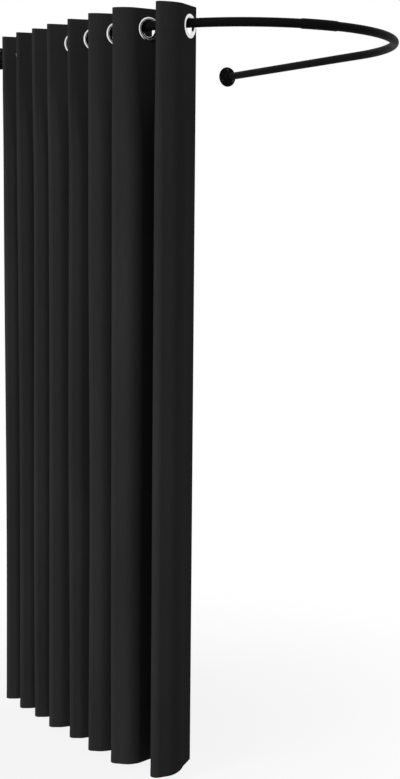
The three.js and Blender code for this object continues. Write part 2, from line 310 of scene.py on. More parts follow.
def blackOxideMaterial():
    material = newMaterial("blackOxide", blackOxide["dark"], blackOxide)
    place = addNode(material, "ShaderNodeTexCoord").outputs["Object"]
    wear = noiseNode(material, place, **blackOxide["wear"])
    colourBy(material, wear, blackOxide)
    roughenBy(material, wear, blackOxide)
    linkShader(material, addBump(material, wear, **blackOxide["wearBump"]), "Normal")
    return material


# Rail: two halves of one bent tube, the left one widened to take the end of the right one

railTube = {
    "radius": 0.0125,
    "wall": 0.0012,
    "slipGap": 0.0003,  # round the tube, in the socket and in the collars
    "mouthAngle": 90,  # degrees round the bow
    "socketLength": 0.105,
    "neckLength": 0.009,
    "neckSteps": 6,
    "socketEndGap": 0.0015,
    "wallEnd": 0.0033,  # from the wall to the tube's end, in the plate
    "sides": 48,
    "bowStep": 2.5,  # degrees
    "armSteps": 6,
    "edgeBreak": 0.0003,
    "sharpAngle": 50,
    "smoothAngle": 35,
}
degreesPerMetre = math.degrees(1 / bowRadius)  # round the bow


def railPoint(turn):  # round the bow, from the left arm
    return bowCentre + bowRadius * Vector((-math.cos(turn), -math.sin(turn), 0))


def startTube(name, side):
    piece = addPrimitive(
        name, bpy.ops.mesh.primitive_circle_add, vertices=railTube["sides"],
        radius=railTube["radius"], rotation=(math.pi / 2, 0, 0),
        location=(side * bowRadius, -railTube["wallEnd"], 0),
    )
    bpy.ops.object.mode_set(mode="EDIT")
    bpy.ops.mesh.select_all(action="SELECT")
    step = (armLength - railTube["wallEnd"]) / railTube["armSteps"]
    for _ in range(railTube["armSteps"]):
        bpy.ops.mesh.extrude_edges_move(TRANSFORM_OT_translate={"value": (0, -step, 0)})
    return piece


def bendTube(side, degrees):
    steps = max(1, round(degrees / railTube["bowStep"]))
    bpy.ops.mesh.spin(
        steps=steps, angle=side * math.radians(degrees), center=bowCentre, axis=up
    )


def finishTube(piece):
    closeSeams()
    bpy.ops.object.mode_set(mode="OBJECT")
    applyModifier(piece, "SOLIDIFY", thickness=railTube["wall"], offset=-1)
    breakEdges(piece, railTube["edgeBreak"], railTube["sharpAngle"])
    smoothShade(piece, railTube["smoothAngle"])


def railLeftHalf():
    plain, mouth = railTube["radius"], railTube["mouthAngle"]
    widest = plain + railTube["slipGap"] + railTube["wall"]
    neck = railTube["neckLength"] * degreesPerMetre
    neckStep = neck / railTube["neckSteps"]
    angle = mouth - railTube["socketLength"] * degreesPerMetre - neck
    piece = startTube("railLeftHalf", -1)
    bendTube(-1, angle)
    radius = plain
    for i in range(railTube["neckSteps"]):
        nextRadius = plain + (widest - plain) * ease((i + 1) / railTube["neckSteps"])
        bendTube(-1, neckStep)
        angle += neckStep
        growth = nextRadius / radius
        bpy.ops.transform.resize(
            value=(growth,) * 3, center_override=railPoint(math.radians(angle))
        )
        radius = nextRadius
    bendTube(-1, mouth - angle)
    finishTube(piece)
    return piece


def railRightHalf():
    hidden = (railTube["socketLength"] - railTube["socketEndGap"]) * degreesPerMetre
    piece = startTube("railRightHalf", 1)
    bendTube(1, 180 - railTube["mouthAngle"] + hidden)
    finishTube(piece)
    return piece


# Wall plates, their screws and the set screws that clamp the tube

plate = {
    "radius": 0.034,
    "rim": 0.0032,
    "rise": 0.0028,  # from the rim to the collar
    "swellShare": 0.6,  # of the rise, half way in
    "collarLength": 0.022,
    "collarWall": 0.0034,
    "collarFillet": 0.0012,
    "floor": 0.003,
    "edgeRound": 0.0009,
    "edgeBreak": 0.0002,
    "screwGap": 0.0003,
    "cutPast": 0.003,
    "roundSteps": 5,
    "sides": 96,
    "sharpAngle": 42,
    "smoothAngle": 35,
}
wallScrew = {
    "count": 3,
    "radius": 0.002,
    "headRadius": 0.0041,
    "headEdge": 0.0002,
    "length": 0.016,
    "point": 0.0035,
    "threadPitch": 0.0012,
    "threadDepth": 0.0003,
    "plainShank": 0.001,  # between the thread and the head
    "crossWidth": 0.0009,
    "crossLength": 0.0044,
    "crossDepth": 0.0013,
    "crossFloorShare": 0.6,  # of the recess's width and length, at its floor
    "firstTurn": 0.3,  # of the recess, in radians
    "nextTurn": 0.7,  # from one screw to the next
    "sides": 40,
    "smoothAngle": 35,
}
setScrew = {
    "radius": 0.0025,
    "proud": 0.0004,
    "chamfer": 0.0003,
    "hexAcross": 0.0025,  # over the corners
    "hexDepth": 0.0016,
    "hexCone": 0.0003,  # depth of the socket's pointed floor
    "cutPast": 0.001,
    "sides": 40,
    "smoothAngle": 35,
}
boreRadius = railTube["radius"] + railTube["slipGap"]
collarRadius = boreRadius + plate["collarWall"]
screwCircle = (collarRadius + plate["radius"]) / 2
# Level with the slope of the plate at the outer side of a head
headSeat = plate["rim"] + plate["rise"] * (
    (plate["radius"] - screwCircle - wallScrew["headRadius"]) / (plate["radius"] - collarRadius)
)
# Set screws lie across the collars, half way along, with their heads below the tube
clampHeight = (plate["floor"] + plate["collarLength"]) / 2
clampPlace = Matrix.Translation((0, 0, clampHeight)) @ Matrix.Rotation(math.pi / 2, 4, "X")


# Pieces of the plate are turned round Z with the room at +Z, then laid against the wall
def againstWall(x):
    return Matrix.Translation((x, 0, 0)) @ Matrix.Rotation(math.pi / 2, 4, "X")


def screwPlaces():
    turns = [2 * math.pi * i / wallScrew["count"] for i in range(wallScrew["count"])]
    return [
        Matrix.Translation((screwCircle * math.sin(turn), screwCircle * math.cos(turn), 0))
        for turn in turns
    ]


def wallPlate():
    radius, rim, top = plate["radius"], plate["rim"], plate["collarLength"]
    edge, fillet, steps = plate["edgeRound"], plate["collarFillet"], plate["roundSteps"]
    face = rim + plate["rise"]
    piece = turnedPiece("wallPlate", [
        (0, 0),
        (radius - edge / 3, 0),
        (radius, edge / 3),
        *arc((radius - edge, rim - edge), (edge, edge), 0, 80, steps),
        (screwCircle, rim + plate["rise"] * plate["swellShare"]),
        *arc((collarRadius + fillet, face + fillet), (fillet, fillet), 260, 180, steps),
        *arc((collarRadius - edge, top - edge), (edge, edge), 0, 90, steps),
        (boreRadius + edge / 2, top),
        (boreRadius, top - edge / 2),
        (boreRadius, plate["floor"]),
        (0, plate["floor"]),
    ], plate["sides"])
    gap, shank, head = plate["screwGap"], wallScrew["radius"], wallScrew["headRadius"]
    past = plate["cutPast"]
    cutters = []
    for place in screwPlaces():
        cutter = turnedPiece("countersink", [
            (0, -past),
            (shank + gap, -past),
            (shank + gap, headSeat - head + shank),
            (head + gap, headSeat),
            (head + gap, face + past),
            (0, face + past),
        ], wallScrew["sides"])
        cutter.data.transform(place)
        cutters.append(cutter)
    tap = turnedPiece("tap", [
        (0, 0),
        (setScrew["radius"] + gap, 0),
        (setScrew["radius"] + gap, collarRadius + past),
        (0, collarRadius + past),
    ], setScrew["sides"])
    tap.data.transform(clampPlace)
    cutAway(piece, cutters + [tap])
    breakEdges(piece, plate["edgeBreak"], plate["sharpAngle"])
    smoothShade(piece, plate["smoothAngle"])
    return piece


def threadProfile(first, last):
    crest, pitch = wallScrew["radius"], wallScrew["threadPitch"]
    points = []
    for i in range(int((last - first) / pitch)):
        height = first + i * pitch
        points += [(crest, height), (crest - wallScrew["threadDepth"], height + pitch / 2)]
    return points


def wallScrewPiece():
    head, shank, edge = wallScrew["headRadius"], wallScrew["radius"], wallScrew["headEdge"]
    sink = headSeat - head + shank
    tip = headSeat - wallScrew["length"]
    piece = turnedPiece("wallScrew", [
        (0, tip),
        *threadProfile(tip + wallScrew["point"], sink - wallScrew["plainShank"]),
        (shank, sink),
        (head - edge, headSeat - edge),
        (head, headSeat - edge / 2),
        (head - edge, headSeat),
        (0, headSeat),
    ], wallScrew["sides"])
    cutters = []
    for width, length in (("crossWidth", "crossLength"), ("crossLength", "crossWidth")):
        size = (wallScrew[width], wallScrew[length], 2 * wallScrew["crossDepth"])
        cutter = addPrimitive("cross", bpy.ops.mesh.primitive_cube_add, size=1, scale=size)
        for vertex in cutter.data.vertices:
            if vertex.co.z < 0:
                vertex.co.x *= wallScrew["crossFloorShare"]
                vertex.co.y *= wallScrew["crossFloorShare"]
        cutter.data.transform(Matrix.Translation((0, 0, headSeat)))
        cutters.append(cutter)
    cutAway(piece, cutters)
    smoothShade(piece, wallScrew["smoothAngle"])
    return piece


def setScrewPiece():
    radius, chamfer = setScrew["radius"], setScrew["chamfer"]
    low, high = boreRadius, collarRadius + setScrew["proud"]
    piece = turnedPiece("setScrew", [
        (0, low),
        (radius - chamfer, low),
        (radius, low + chamfer),
        (radius, high - chamfer),
        (radius - chamfer, high),
        (0, high),
    ], setScrew["sides"])
    corner, bottom = setScrew["hexAcross"] / 2, high - setScrew["hexDepth"]
    socket = turnedPiece("hexSocket", [
        (0, bottom),
        (corner, bottom + setScrew["hexCone"]),
        (corner, high + setScrew["cutPast"]),
        (0, high + setScrew["cutPast"]),
    ], 6)
    cutAway(piece, [socket])
    smoothShade(piece, setScrew["smoothAngle"])
    return piece


# Eyelets: a polished cover ring with its sleeve, and a washer on the other face of the cloth

eyelet = {
    "hole": 0.021,
    "sleeve": 0.0224,
    "radius": 0.0324,
    "seat": 0.0013,  # from the middle of the cloth
    "crown": 0.0044,  # highest point of the ring
    "crownRadius": 0.0272,
    "innerEdge": 0.0012,  # height where the ring turns into the sleeve
    "rimHeight": 0.0003,
    "back": 0.004,  # how far the sleeve and the washer reach behind
    "washerBore": 0.0227,
    "washerRound": 0.0034,
    "boreEdge": 0.0005,
    "curlSteps": 6,
    "innerSteps": 9,
    "outerSteps": 10,
    "washerSteps": 8,
    "sides": 72,
    "smoothAngle": 40,
}


def eyeletRing():
    hole, seat, crown = eyelet["hole"], eyelet["seat"], eyelet["crown"]
    middle, inside, low = eyelet["crownRadius"], eyelet["innerEdge"], seat + eyelet["rimHeight"]
    curl = (eyelet["sleeve"] - hole) / 2
    inner = (middle - hole, crown - inside)
    outer = (eyelet["radius"] - middle, crown - low)
    piece = turnedPiece("eyeletRing", [
        *arc((hole + curl, curl - eyelet["back"]), (curl, curl), 360, 180, eyelet["curlSteps"]),
        *arc((middle, inside), inner, 180, 90, eyelet["innerSteps"]),
        *arc((middle, low), outer, 90, 0, eyelet["outerSteps"])[1:],
        (eyelet["radius"], seat),
        (eyelet["sleeve"], seat),
    ], eyelet["sides"])
    smoothShade(piece, eyelet["smoothAngle"])
    return piece


def eyeletWasher():
    seat, back, bore, radius = (eyelet[name] for name in ("seat", "back", "washerBore", "radius"))
    edge, bend, low = eyelet["boreEdge"], eyelet["washerRound"], seat + eyelet["rimHeight"]
    piece = turnedPiece("eyeletWasher", [
        (bore, -seat),
        (bore, edge - back),
        (bore + edge, -back),
        *arc((radius - bend, -low), (bend, back - low), 270, 360, eyelet["washerSteps"]),
        (radius, -seat),
    ], eyelet["sides"])
    smoothShade(piece, eyelet["smoothAngle"])
    return piece


def nodePoints(name):
    return [vertex.co.copy() for vertex in frame["nodes"][name].data.vertices]


def middleOf(points):
    return sum(points, Vector()) / len(points)


# An eyelet's centre, in the middle of the cloth, and the way its front half faces
def ringFrame(number):
    front = middleOf(nodePoints(f"eyelet_front_{number:02d}"))
    washer = nodePoints(f"eyelet_back_{number:02d}")
    back = middleOf(washer)
    facing = (front - back).normalized()
    seat = max(facing.dot(point) for point in washer)
    return back + facing * (seat + eyelet["seat"] - facing.dot(back)), facing


# Curtain

cloth = {
    "dark": (0.021, 0.021, 0.0215),
    "light": (0.031, 0.0305, 0.031),
    "roughness": 0.92,
    "roughnessChanges": (-0.04, 0.06),
    "metallic": 0,
    "specular": 0.01,
    "slub": {"scale": 1, "detail": 3, "stretch": (900, 14, 1)},
    "fade": {"scale": 1, "detail": 2, "stretch": (3.5, 1.2, 1)},
    "crease": {"scale": 1, "detail": 4, "stretch": (34, 5, 1)},
    "slubShare": 0.45,  # of the tone, the rest being fade
    "toneRange": (0.35, 0.65),
    "creaseBump": {"distance": 0.0012, "strength": 0.35},
    "yarnPitch": 0.0006,
    "yarnBump": {"distance": 0.00012, "strength": 0.7},
    "threadWidth": 0.0009,
    "threadRise": 2.5,  # in yarn depths
    "stitchLength": 0.0032,
    "stitchLevel": -0.35,  # of a sine along the seam, above which the thread shows
    "topStitch": 0.006,  # below the top edge
    "bandHeight": 0.076,  # stiffened heading
    "hemHeight": 0.02,
    "sideHem": 0.015,
    "seamMargin": 0.0022,  # stitches from the edge of the band or hem that they hold
}
curtain = {
    "eyelets": 16,
    "frontEyelets": 5,  # those that are drawn along the bow
    "thickness": 0.002,  # where the cloth is doubled
    "plainShare": 0.62,  # of thickness, outside the heading band and the hems
    "grooveShare": 0.1,  # of what doubling adds, where a stitch pulls the cloth in
    "flatReach": 0.0354,  # from an eyelet's centre to where a leg starts
    "edgeReach": 0.0384,  # from the first and last eyelets to the edges
    "hole": 0.0245,
    "frontFold": {"radius": 0.011, "lowRadius": 0.017, "bulge": 0.004},  # rounder below
    "stackFold": {"radius": 0.008, "lowRadius": 0.014, "bulge": 0.002},
    "tuck": 1.3,  # a fold's tip draws in as the fold grows rounder
    "firstStackDepth": 0.0634,  # centre of fold 5-6, out from the rail
    "frontPlaces": (0.9855, 0.9361, 0.8476, 0.8041),  # folds 1-2 to 4-5, along the rail
    "frontDepths": (0.0857, 0.08, 0.0674, 0.08),
    "squaring": 0.8,  # share of its lean that a leg loses below the heading
    "flatLoss": 0.45,  # share of the flat cloth at an eyelet that curves below the heading
    "elbowShare": 0.5,  # of the way to the fold's centre, where a leg bends
    "elbowShift": 0.15,  # taken off that share below the heading
    "bulgeSkew": 1.5,  # above 1 a leg is fullest near its fold
    "drift": (0.006, 0.005, 0.005, 0.004, 0.002),  # to the wall, at the foot of eyelets 1 to 5
    "edgeDrift": 0.005,  # the same at the free edge
    "edgeRise": 0.017,  # of the bottom corner at the free edge
    "riseReach": 0.15,  # across the cloth, from the free edge
    "riseStart": 1.2,  # the hem rises gently from this depth on
    "calmTop": 0.07,  # the cloth hangs plain down to here, from the rail
    "easeHeight": 0.3,  # in which the folds loosen
    "waver": 0.0016,  # of a fold's tip, in and out
    "waverCount": 3,
    "waverTurns": (1.2, 4.5),  # radians for each metre of depth
    "waverStarts": (0, 6.3),
    "waverSizes": (0.3, 1),
    "seed": 7,
    "holeStep": 0.0025,  # between rows and columns at an eyelet
    "holeReach": 12,  # columns from an eyelet's line that may lie in its hole
    "legSteps": 12,
    "tipSteps": 8,
    "seamRows": (-1.6, -0.8, 0, 0.8, 1.6),  # rows beside a seam, in thread widths
    "fineStep": 0.004,  # between rows near the seams
    "fineReach": 0.1,  # below the heading band
    "rowStep": 0.022,
    "smoothAngle": 40,
    "blendMargin": 0.007,  # past an eyelet's rim, to where the bend starts
    "blendShare": 0.95,  # of a stack fold's radius
}
clothLow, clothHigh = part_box("curtain_panel_16")
clothTop, clothDrop = clothHigh.z, clothHigh.z - clothLow.z
bandEdge = cloth["bandHeight"]
hemEdge = clothDrop - cloth["hemHeight"]
seams = (cloth["topStitch"], bandEdge - cloth["seamMargin"], hemEdge + cloth["seamMargin"])


def stitchMask(material, across, along, place):
    off = mathNode(material, "ABSOLUTE", mathNode(material, "SUBTRACT", across, place))
    isLine = mathNode(material, "LESS_THAN", off, cloth["threadWidth"] / 2)
    turn = mathNode(material, "MULTIPLY", along, 2 * math.pi / cloth["stitchLength"])
    wave = mathNode(material, "SINE", turn)
    isStitch = mathNode(material, "GREATER_THAN", wave, cloth["stitchLevel"])
    return mathNode(material, "MULTIPLY", isLine, isStitch)


# The cloth's own map is in metres: across from the free edge, and up from the bottom edge
def clothMaterial(width):
    material = newMaterial("blackCloth", cloth["dark"], cloth)
    place = addNode(material, "ShaderNodeTexCoord").outputs["UV"]
    split = addNode(material, "ShaderNodeSeparateXYZ")
    link(material, place, split.inputs[0])
    across, rise = split.outputs["X"], split.outputs["Y"]

    # a yarn passes over and under the ones that cross it
    turn = math.pi / cloth["yarnPitch"]
    warp = mathNode(material, "SINE", mathNode(material, "MULTIPLY", across, turn))
    weft = mathNode(material, "SINE", mathNode(material, "MULTIPLY", rise, turn))
    weave = mathNode(material, "ABSOLUTE", mathNode(material, "MULTIPLY", warp, weft))

    sideSeam = cloth["sideHem"] - cloth["seamMargin"]
    stitches = 0
    for line, alongLine, at in (
        *((rise, across, clothDrop - seam) for seam in seams),
        (across, rise, sideSeam),
        (across, rise, width - sideSeam),
    ):
        mask = stitchMask(material, line, alongLine, at)
        stitches = mathNode(material, "MAXIMUM", stitches, mask)

    slub = noiseNode(material, place, **cloth["slub"])
    fade = noiseNode(material, place, **cloth["fade"])
    tone = mathNode(
        material, "ADD", mathNode(material, "MULTIPLY", slub, cloth["slubShare"]),
        mathNode(material, "MULTIPLY", fade, 1 - cloth["slubShare"]),
    )
    tone = spreadNode(material, tone, 0, 1, *cloth["toneRange"])
    tone = mathNode(material, "MINIMUM", mathNode(material, "ADD", tone, stitches), 1)
    colourBy(material, tone, cloth)
    roughenBy(material, fade, cloth)

    crease = noiseNode(material, place, **cloth["crease"])
    soft = addBump(material, crease, **cloth["creaseBump"])
    threads = mathNode(material, "MULTIPLY", stitches, cloth["threadRise"])
    raised = mathNode(material, "ADD", weave, threads)
    linkShader(material, addBump(material, raised, **cloth["yarnBump"], under=soft), "Normal")
    return material


def railAt(place):  # point, direction away from the wall, and outward normal
    if place < armLength:
        return Vector((-bowRadius, -place, 0)), Vector((0, -1, 0)), Vector((-1, 0, 0))
    turn = (place - armLength) / bowRadius
    out = Vector((-math.cos(turn), -math.sin(turn), 0))
    return railPoint(turn), Vector((math.sin(turn), -math.cos(turn), 0)), out


def placeOn(point):  # distance along the rail of a point on its centre line
    if point.y > bowCentre.y:
        return -point.y
    return armLength + bowRadius * math.atan2(bowCentre.y - point.y, -point.x)


def driftOf(number):
    return curtain["drift"][number - 1] if number <= curtain["frontEyelets"] else 0


def makeFolds():
    made = []
    for i, (distance, depth) in enumerate(zip(curtain["frontPlaces"], curtain["frontDepths"])):
        point, along, out = railAt(distance)
        way = out if i % 2 == 0 else -out
        place = {"centre": point + way * depth, "way": way, "along": along}
        made.append({**curtain["frontFold"], **place})
    pivot, second = joints["side_gather"], joints["side_gather_07"]
    share = curtain["firstStackDepth"] / (second.x - pivot.x)
    centres = [pivot + (pivot - second) * share]
    centres += [joints[f"side_gather_{i:02d}"] for i in range(7, curtain["eyelets"] + 1)]
    for centre in centres:
        way = Vector((math.copysign(1, centre.x + bowRadius), 0, 0))
        place = {"centre": centre, "way": way, "along": Vector((0, -1, 0))}
        made.append({**curtain["stackFold"], **place})
    for number, fold in enumerate(made, 1):
        fold["drift"] = (driftOf(number) + driftOf(number + 1)) / 2
    return made


ringFrames = {i: ringFrame(i) for i in range(1, curtain["eyelets"] + 1)}
ringHeight = ringFrames[1][0].z
folds = makeFolds()


# Depths below the top edge: close together at the stitches, the eyelets and the hem
def rowDepths():
    least, fine = cloth["threadWidth"] / 3, curtain["fineStep"]
    depths = {0, clothDrop, bandEdge - least, bandEdge + least, hemEdge - least, hemEdge + least}
    for seam in seams:
        depths |= {seam + row * cloth["threadWidth"] for row in curtain["seamRows"]}
    centre = clothTop - ringHeight
    reach = curtain["hole"] + 2 * curtain["holeStep"]
    coarse = bandEdge + curtain["fineReach"]
    for first, last, step in (
        (cloth["topStitch"] + fine / 2, centre - reach, fine),
        (centre - reach, centre + reach, curtain["holeStep"]),
        (bandEdge + fine, coarse, 2 * fine),
        (coarse, hemEdge - fine, curtain["rowStep"]),
        (hemEdge + fine * 1.5, clothDrop - fine / 4, fine),
    ):
        steps = max(1, round((last - first) / step))
        depths |= {first + (last - first) * i / steps for i in range(steps + 1)}
    kept = []
    for depth in sorted(depths):
        if not kept or depth - kept[-1] > least:
            kept.append(depth)
    kept[-1] = clothDrop
    return kept


# Distances from an eyelet's centre where the cloth is flat
def flatSteps(last):
    count = round((curtain["hole"] + curtain["holeStep"]) / curtain["holeStep"])
    near = [i * curtain["holeStep"] for i in range(count + 1)]
    return near + [near[-1] + (last - near[-1]) * share for share in (0.5, 1)]


# Where a line from a leg's elbow just touches the round tip of the fold, on the leg's side
def touchPoint(elbow, middle, radius, sideways):
    towards = middle - elbow
    swing = math.asin(min(1, radius / towards.length))
    reach = math.sqrt(max(towards.length_squared - radius ** 2, 0))
    touches = [
        elbow + (Matrix.Rotation(turn, 3, "Z") @ towards.normalized()) * reach
        for turn in (swing, -swing)
    ]
    return max(touches, key=lambda point: (point - middle).dot(sideways))


# Half a fold in plan at one height: flat from the eyelet's line, then the leg, then the round tip
def foldArm(number, fold, low, loose, waver):
    centre, facing = ringFrames[number]
    across = facing.cross(up)
    way = across if across.dot(fold["centre"] - centre) > 0 else -across
    along, out = railAt(placeOn(centre))[1:]
    square = out if way.dot(out) > 0 else -out
    way = way.lerp(square, curtain["squaring"] * loose).normalized()
    ring = centre - along * driftOf(number) * low
    radius = fold["radius"] + (fold["lowRadius"] - fold["radius"]) * loose
    tipShift = -fold["along"] * fold["drift"] * low + fold["way"] * waver
    middle = fold["centre"] + tipShift - fold["way"] * (radius - fold["radius"]) * curtain["tuck"]
    ring.z = middle.z = 0
    sideways = fold["along"] * math.copysign(1, (centre - fold["centre"]).dot(fold["along"]))

    kept = 1 - curtain["flatLoss"] * loose
    flat = [ring + way * reach * kept for reach in flatSteps(curtain["flatReach"])]
    start = flat[-1]
    elbowShare = curtain["elbowShare"] - curtain["elbowShift"] * loose
    elbow = start + way * ((middle - start).xy.length * elbowShare)
    touch = touchPoint(elbow, middle, radius, sideways)
    bulgeWay = (touch - start).normalized().cross(up)
    if bulgeWay.dot(sideways) < 0:
        bulgeWay.negate()
    leg = []
    for i in range(1, curtain["legSteps"] + 1):
        share = i / curtain["legSteps"]
        point = start * (1 - share) ** 2 + elbow * 2 * share * (1 - share) + touch * share ** 2
        swell = math.sin(math.pi * share ** curtain["bulgeSkew"]) ** 2
        leg.append(point + bulgeWay * fold["bulge"] * loose * swell)

    offset = touch - middle
    turnIn = math.atan2(offset.dot(sideways), offset.dot(fold["way"]))
    turns = [turnIn * (1 - i / curtain["tipSteps"]) for i in range(1, curtain["tipSteps"] + 1)]
    tip = [middle + radius * (fold["way"] * math.cos(t) + sideways * math.sin(t)) for t in turns]
    return flat + leg + tip


def wavers(number):
    draw = random.Random(curtain["seed"] * 100 + number)
    spans = [curtain[name] for name in ("waverTurns", "waverStarts", "waverSizes")]
    return [[draw.uniform(*span) for span in spans] for _ in range(curtain["waverCount"])]


def waverAt(waves, depth):
    swing = sum(size * math.sin(turns * depth + first) for turns, first, size in waves)
    return curtain["waver"] * swing


# One plan for each depth. low grows to the bottom, and loose is 1 once the cloth hangs freely.
def planRows(depths, makePlan):
    plans = []
    for depth in depths:
        hanging = depth - clothTop - curtain["calmTop"]
        low, loose = max(0, hanging) / clothDrop, ease(hanging / curtain["easeHeight"])
        plans.append(makePlan(depth, low, loose))
    return plans


def foldPlans(number, depths):
    fold, waves = folds[number - 1], wavers(number)

    def wholeFold(depth, low, loose):
        waver = waverAt(waves, depth) * loose
        near, far = (foldArm(ring, fold, low, loose, waver) for ring in (number, number + 1))
        return near + far[::-1][1:]

    return planRows(depths, wholeFold)


# The flat cloth from an eyelet to the edge, on the side away from the eyelet's fold
def edgePlans(number, fold, depths):
    centre, facing = ringFrames[number]
    along = railAt(placeOn(centre))[1]
    away = facing.cross(up)
    if away.dot(fold["centre"] - centre) > 0:
        away.negate()

    def flatEdge(depth, low, loose):
        points = []
        for reach in flatSteps(curtain["edgeReach"]):
            drift = driftOf(number)
            if number == 1:
                drift += (curtain["edgeDrift"] - drift) * reach / curtain["edgeReach"]
            point = centre + away * reach - along * drift * low
            points.append(Vector((point.x, point.y, 0)))
        return points

    return planRows(depths, flatEdge)


def developed(plan, start):  # distances along the flat cloth
    places = [start]
    for first, second in zip(plan, plan[1:]):
        places.append(places[-1] + (second - first).length)
    return places


# Every sheet's plans, its places across the flat cloth, its eyelets and their columns
def planSheets(depths):
    sheets = []

    def addSheet(name, plans, across, rings, holes, isHalf=False):
        sheets.append({
            "name": name, "plans": plans, "across": across, "rings": rings, "holes": holes,
            "isHalf": isHalf,
        })

    plans = [plan[::-1] for plan in edgePlans(1, folds[0], depths)]
    across = developed(plans[0], 0)
    addSheet("curtainLeadingEdge", plans, across, [1], [len(across) - 1])
    for number in range(1, curtain["eyelets"]):
        plans = foldPlans(number, depths)
        across = developed(plans[0], across[-1])
        rings, last = [number, number + 1], len(across) - 1
        if number == curtain["frontEyelets"]:
            tip = last // 2
            for name, part, ring, hole in (
                ("curtainFold05Half", slice(0, tip + 1), number, 0),
                ("curtainFold06Half", slice(tip, None), number + 1, last - tip),
            ):
                addSheet(name, [plan[part] for plan in plans], across[part], [ring], [hole], True)
        else:
            name = f"curtainFold{number:02d}to{number + 1:02d}"
            addSheet(name, plans, across, rings, [0, last])
    plans = edgePlans(curtain["eyelets"], folds[-1], depths)
    across = developed(plans[0], across[-1])
    addSheet("curtainWallEnd", plans, across, [curtain["eyelets"]], [0])
    return sheets


# Moves a grid's points to their places, and returns the points that lie in an eyelet's hole
def hangCloth(mesh, plans, depths, across, holes):
    ringDepth, calm = clothTop - ringHeight, curtain["riseStart"]
    inside = set()
    for row, (depth, plan) in enumerate(zip(depths, plans)):
        settled = ease((depth - calm) / (clothDrop - calm))
        for column, (point, place) in enumerate(zip(plan, across)):
            index = row * len(plan) + column
            rise = curtain["edgeRise"] * max(0, 1 - place / curtain["riseReach"]) ** 2
            height = clothTop - depth + rise * settled
            for line in (plan[h] for h in holes if abs(column - h) <= curtain["holeReach"]):
                offset = math.hypot((point - line).length, depth - ringDepth)
                if offset < curtain["hole"]:
                    inside.add(index)
                    growth = curtain["hole"] / max(offset, 1e-6)
                    point = line + (point - line) * growth
                    height = ringHeight - (depth - ringDepth) * growth
            mesh.vertices[index].co = (point.x, point.y, height)
    return inside


# Thicker where the cloth is doubled or stiffened, and thin where a stitch pulls it in
def weighCloth(piece, depths, across, width):
    group = piece.vertex_groups.new(name="thick")
    for row, depth in enumerate(depths):
        isDoubled = depth < bandEdge or depth > hemEdge
        isGroove = any(abs(depth - seam) < cloth["threadWidth"] / 4 for seam in seams)
        for column, place in enumerate(across):
            share = 1 if isDoubled or min(place, width - place) < cloth["sideHem"] else 0
            if isGroove:
                share = curtain["grooveShare"]
            group.add([row * len(across) + column], share, "REPLACE")


def cutHoles(mesh, inside):
    for part in (*mesh.vertices, *mesh.edges):
        part.select = False
    for face in mesh.polygons:
        face.select = inside.issuperset(face.vertices)
    bpy.ops.object.mode_set(mode="EDIT")
    bpy.ops.mesh.select_mode(type="FACE")
    bpy.ops.mesh.delete(type="FACE")
    bpy.ops.mesh.select_mode(type="VERT")
    bpy.ops.object.mode_set(mode="OBJECT")


def clothSheet(sheet, depths, width):
    across = sheet["across"]
    piece = addPrimitive(
        sheet["name"], bpy.ops.mesh.primitive_grid_add, x_subdivisions=len(across) - 1,
        y_subdivisions=len(depths) - 1, size=1, calc_uvs=True,
    )
    mesh = piece.data
    plans, depths = sheet["plans"][::-1], depths[::-1]  # a grid's first row is its lowest
    inside = hangCloth(mesh, plans, depths, across, sheet["holes"])
    for loop in mesh.loops:
        row, column = divmod(loop.vertex_index, len(across))
        mesh.uv_layers.active.data[loop.index].uv = (across[column], clothDrop - depths[row])
    weighCloth(piece, depths, across, width)
    cutHoles(mesh, inside)
    applyModifier(
        piece, "SOLIDIFY", thickness=curtain["thickness"], offset=0, vertex_group="thick",
        thickness_vertex_group=curtain["plainShare"], use_even_offset=False,
    )
    smoothShade(piece, curtain["smoothAngle"])
    return piece


def body(number):
    return f"panel_{number:02d}"


# The edge sheets turn with their one eyelet; the other sheets stay fixed where they hang
def joinToBodies(piece, sheet):
    rings, across = sheet["rings"], sheet["across"]
    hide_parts(*[f"curtain_panel_{number:02d}" for number in rings])
    if sheet["isHalf"]:
        fold = folds[curtain["frontEyelets"] - 1]
        tip = fold["centre"] + fold["way"] * fold["radius"]
        centre = ringFrames[rings[0]][0]
        way = tip - centre
        way.z = 0
        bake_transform(piece)
    elif len(rings) == 1:
        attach(piece, body(rings[0]))
    elif rings[0] < curtain["frontEyelets"]:
        (near, nearFacing), (far, farFacing) = (ringFrames[number] for number in rings)
        along = near - far
        along.z = 0
        along.normalize()
        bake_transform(piece)
    else:
        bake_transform(piece)


# Putting the pieces together

def placePiece(piece, material, bodyName, node):
    piece.data.materials.append(material)
    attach(piece, bodyName)
    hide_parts(node)


metal, shiny, screwMetal = powderCoatMaterial(), chromeMaterial(), blackOxideMaterial()
placePiece(railLeftHalf(), metal, "rail", "rail_left_half")
placePiece(railRightHalf(), metal, "rail", "rail_right_half")
print("rail made")

plateMaster, screwMaster, clampMaster = wallPlate(), wallScrewPiece(), setScrewPiece()
for side, x in (("left", -bowRadius), ("right", bowRadius)):
    name, base = side.title(), againstWall(x)
    piece = copyPiece(plateMaster, f"wallPlate{name}", base)
    placePiece(piece, metal, "rail", f"{side}_wall_plate")
    for i, place in enumerate(screwPlaces()):
        turn = Matrix.Rotation(wallScrew["nextTurn"] * i + wallScrew["firstTurn"], 4, "Z")
        piece = copyPiece(screwMaster, f"wallScrew{name}{i + 1}", base @ place @ turn)
        placePiece(piece, screwMetal, "rail", f"{side}_wall_screw_{i + 1}")
    piece = copyPiece(clampMaster, f"setScrew{name}", base @ clampPlace)
    placePiece(piece, screwMetal, "rail", f"{side}_set_screw")
for master in (plateMaster, screwMaster, clampMaster):
    removePiece(master)
print("wall plates and screws made")

